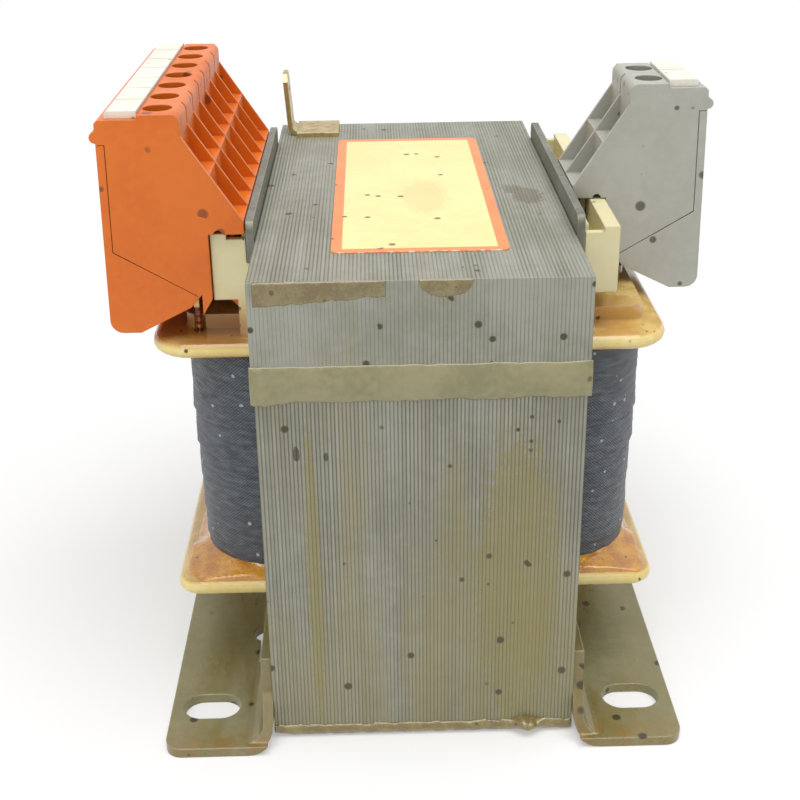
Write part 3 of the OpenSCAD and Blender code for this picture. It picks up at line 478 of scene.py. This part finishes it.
def housing_plastic(name, main, second, dirt_and_shade, wear_and_highlight):
    """Moulded terminal housing: faint mottle, painted shade in the hollows, painted highlight on the edges,
    dirt specks.
    """
    def build(net):
        where = net.place()
        edge = net.use(SOFT_EDGE, Radius=0.22)
        tone = net.use(MOTTLE, Tone=main, Other_Tone=second, Scale=0.08)
        # Painted shade: ambient occlusion darkens the hollows towards the dirt colour.
        hollow = net.node("ShaderNodeAmbientOcclusion", {"Distance": 5.0 * MM}, samples=4).outputs["AO"]
        shade = net.times(net.ramp(hollow, 0.75, 0.2), 0.35)
        hollow_painted_shade = net.mix(shade, tone["Color"], dirt_and_shade)
        # Painted highlight: the edges are lightened.
        edge_painted_highlight = net.mix(net.times(edge["Edge"], 0.35), hollow_painted_shade, wear_and_highlight)
        specks = net.use(SPECKS, Color=edge_painted_highlight, Speck=dirt_and_shade, Scale=0.45, Share=0.12)
        grain = net.noise(where, 5.0, 2.0)
        return {"Base Color": specks["Color"],
                "Roughness": net.ramp(tone["Mask"], 0.0, 1.0, 0.36, 0.46),
                "Normal": net.bump(grain, 0.03, 0.4, edge["Normal"])}
    return material(name, build)


def cloth_tape():
    """Dark crepe tape soaked in varnish: threads along and across, drawn with painted light and shade, and
    painted glints.
    """
    def build(net):
        flat = net.node("ShaderNodeUVMap", uv_map="wrap").outputs[0]
        along, up, _ = net.parts(flat)
        slanted = net.node("ShaderNodeCombineXYZ",
                           {0: net.add(along, net.times(up, 0.6)), 1: up}).outputs[0]
        crepe = net.noise(net.stretch(slanted, (40.0, 130.0, 1.0)), 1.0, 3.0, 0.7)
        threads = net.math("SINE", net.times(along, 2 * math.pi * 190.0))
        rows = net.math("SINE", net.times(up, 2 * math.pi * 210.0))
        weave = net.add(net.times(threads, rows, 0.25), crepe)
        broad = net.noise(net.place(), 0.12, 3.0)
        tone = net.mix(net.ramp(broad, 0.35, 0.65), paint(66, 72, 80), paint(78, 84, 90))
        # The weave pattern, drawn with painted light on the raised threads and painted shade between them.
        lit = net.mix(net.ramp(weave, 0.5, 0.85), tone, paint(112, 118, 124))
        dark = net.mix(net.ramp(weave, 0.46, 0.28), lit, paint(38, 42, 48))
        # Painted glints: light specks over the tape.
        painted_glints = net.use(SPECKS, Color=dark, Speck=paint(170, 172, 170), Scale=1.1, Share=0.06)
        return {"Base Color": painted_glints["Color"], "Roughness": 0.62, "Sheen Weight": 0.25,
                "Sheen Roughness": 0.5, "Normal": net.bump(weave, 0.16, 0.9)}
    return material("cloth tape", build)


def marker_plastic():
    """White marker strip, faintly yellowed."""
    def build(net):
        edge = net.use(SOFT_EDGE, Radius=0.15)
        tone = net.use(MOTTLE, Tone=paint(236, 233, 222), Other_Tone=paint(228, 223, 206), Scale=0.15)
        specks = net.use(SPECKS, Color=tone["Color"], Speck=paint(150, 140, 112), Scale=0.7, Share=0.08)
        return {"Base Color": specks["Color"], "Roughness": 0.45,
                "Normal": net.bump(net.noise(net.place(), 2.0), 0.02, 0.4, edge["Normal"])}
    return material("marker plastic", build)


def label_paper():
    """Cream printed field inside an orange border, aged, and whitened along the front edge by wear and a
    painted highlight.
    """
    centre = (LABEL_LOW + LABEL_HIGH) / 2
    half = (LABEL_HIGH - LABEL_LOW) / 2
    border = 1.5

    def build(net):
        where = net.place()
        x, y, _ = net.parts(where)
        from_x = net.math("SUBTRACT", half.x, net.size(net.math("SUBTRACT", x, centre.x)))
        from_y = net.math("SUBTRACT", half.y, net.size(net.math("SUBTRACT", y, centre.y)))
        inside = net.ramp(net.math("MINIMUM", from_x, from_y), border - 0.05, border + 0.05)
        cream = net.use(MOTTLE, Tone=paint(245, 230, 160), Other_Tone=paint(238, 220, 146), Scale=0.06)
        stained = net.mix(net.times(spot(net, (2.0, -6.0, CORE_TOP), (4.0, 9.0, 2.0), 1.6), 0.25),
                          cream["Color"], paint(190, 168, 100))
        orange = net.use(MOTTLE, Tone=paint(250, 140, 62), Other_Tone=paint(246, 128, 50), Scale=0.2)
        printed = net.mix(inside, orange["Color"], stained)
        # Front edge whitened: worn paper, and painted glints.
        wear_and_glint_cloud = net.ramp(net.noise(net.stretch(where, (1.0, 3.0, 1.0)), 1.4, 3.0), 0.5, 0.62)
        wear_and_highlight = net.times(net.ramp(y, LABEL_LOW.y + 0.35, LABEL_LOW.y + 0.1), wear_and_glint_cloud)
        edge = net.mix(wear_and_highlight, printed, paint(246, 240, 222))
        specks = net.use(SPECKS, Color=edge, Speck=paint(120, 96, 52), Scale=0.6, Share=0.07)
        return {"Base Color": specks["Color"], "Roughness": 0.4, "Coat Weight": 0.25,
                "Coat Roughness": 0.25, "Normal": net.bump(net.noise(where, 0.5, 3.0), 0.03, 0.4)}
    return material("label paper", build)


def plated_metal(name, main, second, metallic=0.9, roughness=0.3):
    """Plated or bare metal with a cloudy surface and painted highlight on its edges."""
    def build(net):
        edge = net.use(SOFT_EDGE, Radius=0.15)
        tone = net.use(MOTTLE, Tone=main, Other_Tone=second, Scale=0.6)
        # Painted highlight: the edges are lightened.
        wear_and_highlight = net.mix(net.times(edge["Edge"], 0.4), tone["Color"], paint(228, 222, 204))
        return {"Base Color": wear_and_highlight, "Metallic": metallic,
                "Roughness": net.ramp(tone["Mask"], 0.0, 1.0, roughness, roughness + 0.15),
                "Normal": net.bump(net.noise(net.place(), 2.5), 0.03, 0.5, edge["Normal"])}
    return material(name, build)


def enamelled_wire(name, main, second):
    """Copper under clear enamel, in fine turns round the coil."""
    def build(net):
        _, _, z = net.parts(net.place())
        turns = net.math("SINE", net.times(z, 2 * math.pi))
        tone = net.use(MOTTLE, Tone=main, Other_Tone=second, Scale=0.3)
        return {"Base Color": tone["Color"], "Metallic": 0.7, "Roughness": 0.3, "Coat Weight": 0.6,
                "Coat Roughness": 0.1, "Normal": net.bump(turns, 0.2, 0.6)}
    return material(name, build)


def matt_sheet(name, main, second, roughness=0.6):
    """Plain insulating sheet or sleeve."""
    def build(net):
        tone = net.use(MOTTLE, Tone=main, Other_Tone=second, Scale=0.4)
        specks = net.use(SPECKS, Color=tone["Color"], Speck=paint(60, 46, 26), Scale=0.9, Share=0.1)
        return {"Base Color": specks["Color"], "Roughness": roughness,
                "Normal": net.bump(net.noise(net.place(), 1.6, 3.0), 0.08, 0.6)}
    return material(name, build)


E_STEEL = laminated_steel("E pack steel", E_HIGH.x, e_line_mask)
I_STEEL = laminated_steel("I pack steel", I_HIGH.x, i_line_mask)
WELD = varnished_weld()
FOOT = foot_steel()
STRIP = strip_steel()
CREAM = bobbin_plastic()
AMBER = resin("amber resin", paint(222, 158, 44), paint(188, 120, 22))
VARNISH = resin("olive varnish", paint(142, 126, 66), paint(120, 100, 44))
DRIED = resin("dried varnish", paint(134, 122, 72), paint(112, 92, 46), 0.12)
# The last two colours are the dirt and painted shade in the hollows, and the painted highlight on the edges.
ORANGE = housing_plastic("orange housing", paint(224, 112, 16), paint(216, 104, 12), paint(150, 70, 16),
                         paint(240, 150, 60))
COOL_GREY = housing_plastic("grey housing", paint(176, 176, 166), paint(168, 168, 158), paint(92, 90, 82),
                            paint(206, 206, 196))
TAPE = cloth_tape()
MARKER = marker_plastic()
LABEL = label_paper()
TINNED = plated_metal("tinned brass", paint(196, 176, 124), paint(168, 146, 92), 0.85, 0.28)
ZINC = plated_metal("zinc plating", paint(176, 176, 170), paint(140, 140, 132), 0.9, 0.35)
BRASS = plated_metal("contact brass", paint(212, 178, 110), paint(182, 148, 84), 0.95, 0.3)
COPPER = enamelled_wire("enamelled copper", paint(176, 92, 50), paint(140, 66, 34))
INSULATION = matt_sheet("winding insulation", paint(216, 206, 172), paint(196, 182, 140))
SLEEVE = resin("varnished sleeve", paint(168, 124, 64), paint(132, 92, 44), 0.15)


# ---------------------------------------------------------------- carried CAD nodes

def dress(nodes, finish):
    """Gives CAD nodes their material; their meshes stay as they are."""
    for name in nodes:
        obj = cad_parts[name]
        obj.data.materials.clear()
        obj.data.materials.append(finish)


def both(text):
    """The primary and the secondary side's node of one kind."""
    return ["primary_" + text, "secondary_" + text]


dress(["e_laminations"], E_STEEL)
dress(["i_laminations"], I_STEEL)
dress(["foot_left", "foot_right", "foot_welds"], FOOT)
dress(["strip_left", "strip_right"], STRIP)
dress(["bobbin"], CREAM)
dress(["primary_winding", "secondary_winding"] + both("leads"), COPPER)
dress(["winding_insulation"], INSULATION)
dress(["primary_terminal_%d" % i for i in range(1, 8)] + ["primary_end_cover"], ORANGE)
dress(["secondary_terminal_%d" % i for i in range(1, 3)] + ["secondary_end_cover"], COOL_GREY)
dress(both("marker"), MARKER)
dress(both("screws"), ZINC)
dress(both("clamps"), ZINC)
dress(both("contacts"), BRASS)
dress(["lead_sleeves"], SLEEVE)
dress(["earth_tab"], TINNED)
dress(["rating_label"], LABEL)


# ---------------------------------------------------------------- mesh helpers

def slab(outer, inner, ring=False):
    """Closed skin between two grids of points; a ring joins its last column to its first."""
    made = bmesh.new()
    grids = [[[made.verts.new(p * MM) for p in row] for row in grid] for grid in (outer, inner)]
    columns = len(outer[0])
    pairs = [(i, (i + 1) % columns) for i in range(columns if ring else columns - 1)]
    for grid in grids:
        for one, two in zip(grid, grid[1:]):
            for i, j in pairs:
                made.faces.new((one[i], one[j], two[j], two[i]))
    over, under = grids
    for edge in (0, -1):
        for i, j in pairs:
            made.faces.new((over[edge][i], over[edge][j], under[edge][j], under[edge][i]))
    if not ring:
        for side in (0, -1):
            for row in range(len(outer) - 1):
                made.faces.new((over[row][side], over[row + 1][side], under[row + 1][side],
                                under[row][side]))
    bmesh.ops.recalc_face_normals(made, faces=made.faces)
    return made


def place_piece(name, made, finish, replaced=()):
    """Makes an object of a bmesh or a mesh, and lets it ride on the frame."""
    mesh = made
    if isinstance(made, bmesh.types.BMesh):
        mesh = bpy.data.meshes.new(name)
        made.to_mesh(mesh)
        made.free()
    mesh.materials.clear()
    mesh.materials.append(finish)
    mesh.shade_smooth()
    obj = bpy.data.objects.new(name, mesh)
    scene.collection.objects.link(obj)
    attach(obj, "root")
    if replaced:
        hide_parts(*replaced)
    return obj


def waver(*coordinates):
    """Smooth noise from -1 to 1 at a point."""
    return noise.fractal(Vector((tuple(coordinates) + (0.0, 0.0, 0.0))[:3]), 0.8, 2.0, 3)


def face_film(side, left, right, top, bottom, depth, columns, rows):
    """Skin on the core's front (-1) or rear (1) face between two edges given as functions of x."""
    sunk = 0.3
    outer, inner = [], []
    for row in range(rows + 1):
        t = row / rows
        outer_row, inner_row = [], []
        for column in range(columns + 1):
            x = left + (right - left) * column / columns
            z = top(x) + (bottom(x) - top(x)) * t
            outer_row.append(Vector((x, side * (-CORE_FRONT + depth(x, t)), z)))
            inner_row.append(Vector((x, side * (-CORE_FRONT - sunk), z)))
        outer.append(outer_row)
        inner.append(inner_row)
    return slab(outer, inner)


# ---------------------------------------------------------------- coil

def rounded_outline(half_x, half_y, radius, count):
    """Points and outward directions evenly along a rounded rectangle, and its length."""
    straight_x, straight_y = 2 * (half_x - radius), 2 * (half_y - radius)
    arc = radius * math.pi / 2
    length = 2 * (straight_x + straight_y) + 4 * arc
    corners = [(1, 1), (-1, 1), (-1, -1), (1, -1)]
    points = []
    for step in range(count):
        at = length * step / count
        for number, (sx, sy) in enumerate(corners):
            start_angle = number * math.pi / 2
            centre = Vector((sx * (half_x - radius), sy * (half_y - radius), 0))
            if at <= arc:
                angle = start_angle + at / radius
                out = Vector((math.cos(angle), math.sin(angle), 0))
                points.append((centre + out * radius, out))
                break
            at -= arc
            side = straight_x if number % 2 == 0 else straight_y
            if at <= side:
                out = Vector((math.cos(start_angle + math.pi / 2), math.sin(start_angle + math.pi / 2), 0))
                run = Vector((-out.y, out.x, 0))
                points.append((centre + out * radius + run * at, out))
                break
            at -= side
    return points, length


def tape_coil():
    """Cloth tape in overlapping turns: each turn's lower edge stands proud of the one beneath."""
    tucked = 0.9
    low, high = WRAP_LOW.z - tucked, WRAP_HIGH.z + tucked
    around, rings = 400, 150
    skin = 1.4
    turns = [(51.2, 0.16), (47.0, 0.08), (41.4, 0.34), (35.6, 0.34), (29.6, 0.1), (24.5, 0.12), (20.6, 0.2)]
    fade, step_h, lap = 6.0, 0.25, 0.10
    points, length = rounded_outline(WRAP_HIGH.x, WRAP_HIGH.y, WRAP_CORNER, around)

    def proud(step, z):
        """How far the tape stands out: each turn is a height of its lower edge and a lip there."""
        angle = step / around * 2 * math.pi
        bend = Vector((math.cos(angle), math.sin(angle), 0)) * 2.2
        share = (z - low) / (high - low)
        total = -0.45 + 0.75 * share + 0.12 * waver(bend.x, bend.y, z * 0.08)
        for edge, lip in turns:
            here = edge + 0.9 * math.sin(angle + edge) + 0.8 * waver(bend.x, bend.y, edge)
            over = z - here
            if 0 <= over:
                total += lip * max(0.0, 1 - over / fade) * min(1.0, over / step_h)
            else:
                total -= lap * math.exp(over / step_h)
        wrinkle = waver(step * length / around * 0.55 + z * 0.35, z * 1.7, 5.0)
        return total + 0.10 * wrinkle

    outer, inner = [], []
    for ring in range(rings + 1):
        z = low + (high - low) * ring / rings
        tuck = 0.5 * max(0.0, 1 - (z - low) / 1.2) ** 2 + 0.3 * max(0.0, 1 - (high - z) / 0.8) ** 2
        outer.append([p + n * (proud(i, z) - tuck) + Vector((0, 0, z)) for i, (p, n) in enumerate(points)])
        inner.append([p - n * skin + Vector((0, 0, z)) for p, n in points])
    made = slab(outer, inner, ring=True)
    layer = made.loops.layers.uv.new("wrap")
    made.verts.index_update()
    for face in made.faces:
        places = [loop.vert.index % around for loop in face.loops]
        seam = max(places) - min(places) > around / 2
        for loop, spot_at in zip(face.loops, places):
            along = (spot_at + around if seam and spot_at < around / 2 else spot_at) * length / around
            loop[layer].uv = (along / 100, loop.vert.co.z / MM / 100)
    return place_piece("tape_coil", made, TAPE, ["outer_wrap"])


tape_coil()


# ---------------------------------------------------------------- weld seams and varnish on the core

def seam_band(name, side, replaced):
    """Seam along the joint, filled up with varnish; its lower edge hangs in shallow waves."""
    reach = SEAM_HIGH.x
    lump_x = -20.4

    def top(x):
        return SEAM_HIGH.z - 0.25 + 0.18 * waver(x * 0.25, side)

    def bottom(x):
        sag = 0.35 * waver(x * 0.16, 3.0 + side) + 0.15 * waver(x * 0.7, 7.0)
        return SEAM_LOW.z + 0.2 - sag - 0.5 * math.exp(-((x + 20.5) / 2.0) ** 2)

    def depth(x, t):
        end = min(1.0, (reach - abs(x)) / 0.8)
        body = math.sin(math.pi * min(1.0, max(0.0, t)) ** 1.25) ** 0.55
        lump = 0.25 * math.exp(-((x - lump_x) / 1.4) ** 2) * math.exp(-((t - 0.75) / 0.3) ** 2)
        dip = 0.1 * waver(x * 0.3, t * 2.0, side)
        return 0.62 * body * max(0.15, end) ** 0.5 + (lump + dip * 0.5) * body

    made = face_film(side, -reach, reach, top, bottom, depth, 260, 26)
    return place_piece(name, made, WELD, replaced)


seam_band("seam_front", -1, ["weld_seam_front"])
seam_band("seam_rear", 1, ["weld_seam_rear"])


def varnish_skirt():
    """Varnish that ran down the front and stayed as a lip below the core, with one drop on it."""
    drop_x = 15.2

    def top(x):
        return CORE_FOOT + 1.1 + 0.35 * waver(x * 0.4, 11.0) + 0.5 * math.exp(-((x - drop_x) / 2.2) ** 2)

    def bottom(x):
        return 0.35 - 0.15 * waver(x * 0.6, 2.0) + 0.45 * max(0.0, (-19.0 - x) / 3.0)

    def depth(x, t):
        drop = 1.5 * math.exp(-((x - drop_x) / 1.7) ** 2)
        return (0.35 + 0.15 * waver(x * 0.8, 4.0) + drop) * math.sin(math.pi * t ** 0.7) ** 0.7

    made = face_film(-1, E_LOW.x, E_HIGH.x, top, bottom, depth, 200, 14)
    return place_piece("varnish_skirt", made, VARNISH)


varnish_skirt()


def dried_patches():
    """Two patches of varnish that dried on the front's top edge: a long one, and one like a lens."""
    long_left, long_right = -21.3, -4.5
    lens_x, lens_half = 3.2, 3.4

    def long_bottom(x):
        share = (x - long_left) / (long_right - long_left)
        return CORE_TOP - (3.3 - 1.2 * share) - 0.25 * waver(x * 0.5, 21.0)

    def lens_bottom(x):
        bulge = max(0.0, 1 - ((x - lens_x) / lens_half) ** 2) ** 0.5
        return CORE_TOP - 0.3 - 2.0 * bulge - 0.2 * waver(x, 9.0)

    def top(_):
        return CORE_TOP + 0.02

    def depth(x, t):
        return (0.14 + 0.06 * waver(x * 0.9, t * 3.0)) * math.sin(math.pi * min(1.0, 0.25 + 0.75 * t)) ** 0.5

    long_patch = face_film(-1, long_left, long_right, top, long_bottom, depth, 120, 10)
    lens_patch = face_film(-1, lens_x - lens_half, lens_x + lens_half, top, lens_bottom, depth, 60, 10)
    place_piece("dried_patch_left", long_patch, DRIED)
    place_piece("dried_patch_right", lens_patch, DRIED)


dried_patches()


# ---------------------------------------------------------------- resin on the lower flange

def coil_resin():
    """Amber resin that ran down the coil and set on the lower flange, wrinkled, up to near its edge."""
    around, across = 320, 16
    under_tape, widest, sunk = 0.8, 7.5, 0.15
    points, _ = rounded_outline(WRAP_HIGH.x - under_tape, WRAP_HIGH.y - under_tape,
                                WRAP_CORNER - under_tape, around)
    left, right, side = BOBBIN_LOW.x + 2.3, BOBBIN_HIGH.x - 1.4, 27.0
    outer, inner = [], []
    for row in range(across + 1):
        t = row / across
        outer_row, inner_row = [], []
        for p, n in points:
            target = Vector((max(left, min(right, p.x + n.x * 30)),
                             max(-side, min(side, p.y + n.y * 30)), 0))
            span = min((target - p).length, widest)
            span *= 0.88 + 0.12 * waver(p.x * 0.25, p.y * 0.25, 3.0)
            at = p + n * span * t
            at.x = max(left, min(right, at.x))
            at.y = max(-side, min(side, at.y))
            ridge = waver(at.x * 0.8, at.y * 0.8, 1.0)
            height = 1.5 * (1 - t) ** 2.2 + 0.42 * (1 - t ** 6) + 0.16 * ridge * (1 - t)
            outer_row.append(Vector((at.x, at.y, LOWER_FLANGE_TOP + max(0.02, height))))
            inner_row.append(Vector((at.x, at.y, LOWER_FLANGE_TOP - sunk)))
        outer.append(outer_row)
        inner.append(inner_row)
    return place_piece("coil_resin", slab(outer, inner, ring=True), AMBER)


coil_resin()


# ---------------------------------------------------------------- floor, world and lamps

def white_for_the_eye(net):
    """1 where the camera, a reflection or clear material looks straight at the surface."""
    path = net.node("ShaderNodeLightPath").outputs
    return net.most(path["Is Camera Ray"], path["Is Glossy Ray"], path["Is Transmission Ray"])


def add_floor():
    """Pale floor that keeps the shadow near the object and fades to white further out."""
    finish = bpy.data.materials.new("pale floor")
    finish.use_nodes = True
    finish.node_tree.nodes.clear()
    net = Net(finish.node_tree)
    flat = net.stretch(net.place(), (1.0, 1.0, 0.0))
    far = net.node("ShaderNodeVectorMath", {0: flat}, operation="LENGTH").outputs["Value"]
    lit = net.node("ShaderNodeBsdfDiffuse", {"Color": paint(246, 246, 246)}).outputs[0]
    white = net.node("ShaderNodeEmission", {"Color": (1, 1, 1, 1), "Strength": 1.0}).outputs[0]
    share = net.times(white_for_the_eye(net), net.ramp(far, 60.0, 170.0, 0.35, 1.0))
    mixed = net.node("ShaderNodeMixShader", {0: share, 1: lit, 2: white}).outputs[0]
    net.node("ShaderNodeOutputMaterial", {"Surface": mixed})
    made = bmesh.new()
    bmesh.ops.create_grid(made, x_segments=4, y_segments=4, size=3.0)
    mesh = bpy.data.meshes.new("floor")
    made.to_mesh(mesh)
    made.free()
    mesh.materials.append(finish)
    floor = bpy.data.objects.new("floor", mesh)
    scene.collection.objects.link(floor)


def add_world():
    """White for the eye, softer as a light."""
    world = bpy.data.worlds.new("studio")
    world.use_nodes = True
    scene.world = world
    net = Net(world.node_tree)
    world.node_tree.nodes.clear()
    strength = net.ramp(white_for_the_eye(net), 0.0, 1.0, 0.42, 1.0)
    back = net.node("ShaderNodeBackground", {"Color": (1, 1, 1, 1), "Strength": strength}).outputs[0]
    net.node("ShaderNodeOutputWorld", {"Surface": back})


def add_lamp(name, place, target, size, power):
    """Soft rectangular lamp at a place in metres, turned to a target."""
    lamp = bpy.data.lights.new(name, "AREA")
    lamp.shape = "RECTANGLE"
    lamp.size, lamp.size_y = size
    lamp.energy = power
    obj = bpy.data.objects.new(name, lamp)
    obj.location = place
    obj.rotation_mode = "QUATERNION"
    obj.rotation_quaternion = (Vector(target) - Vector(place)).to_track_quat("-Z", "Y")
    scene.collection.objects.link(obj)


add_floor()
add_world()
add_lamp("overhead", (0.05, -0.15, 0.9), (0, 0, 0.04), (0.9, 0.7), 7.5)
add_lamp("front_fill", (-0.35, -0.8, 0.45), (0, 0, 0.04), (0.5, 0.5), 1.2)

scene.view_settings.view_transform = "Standard"
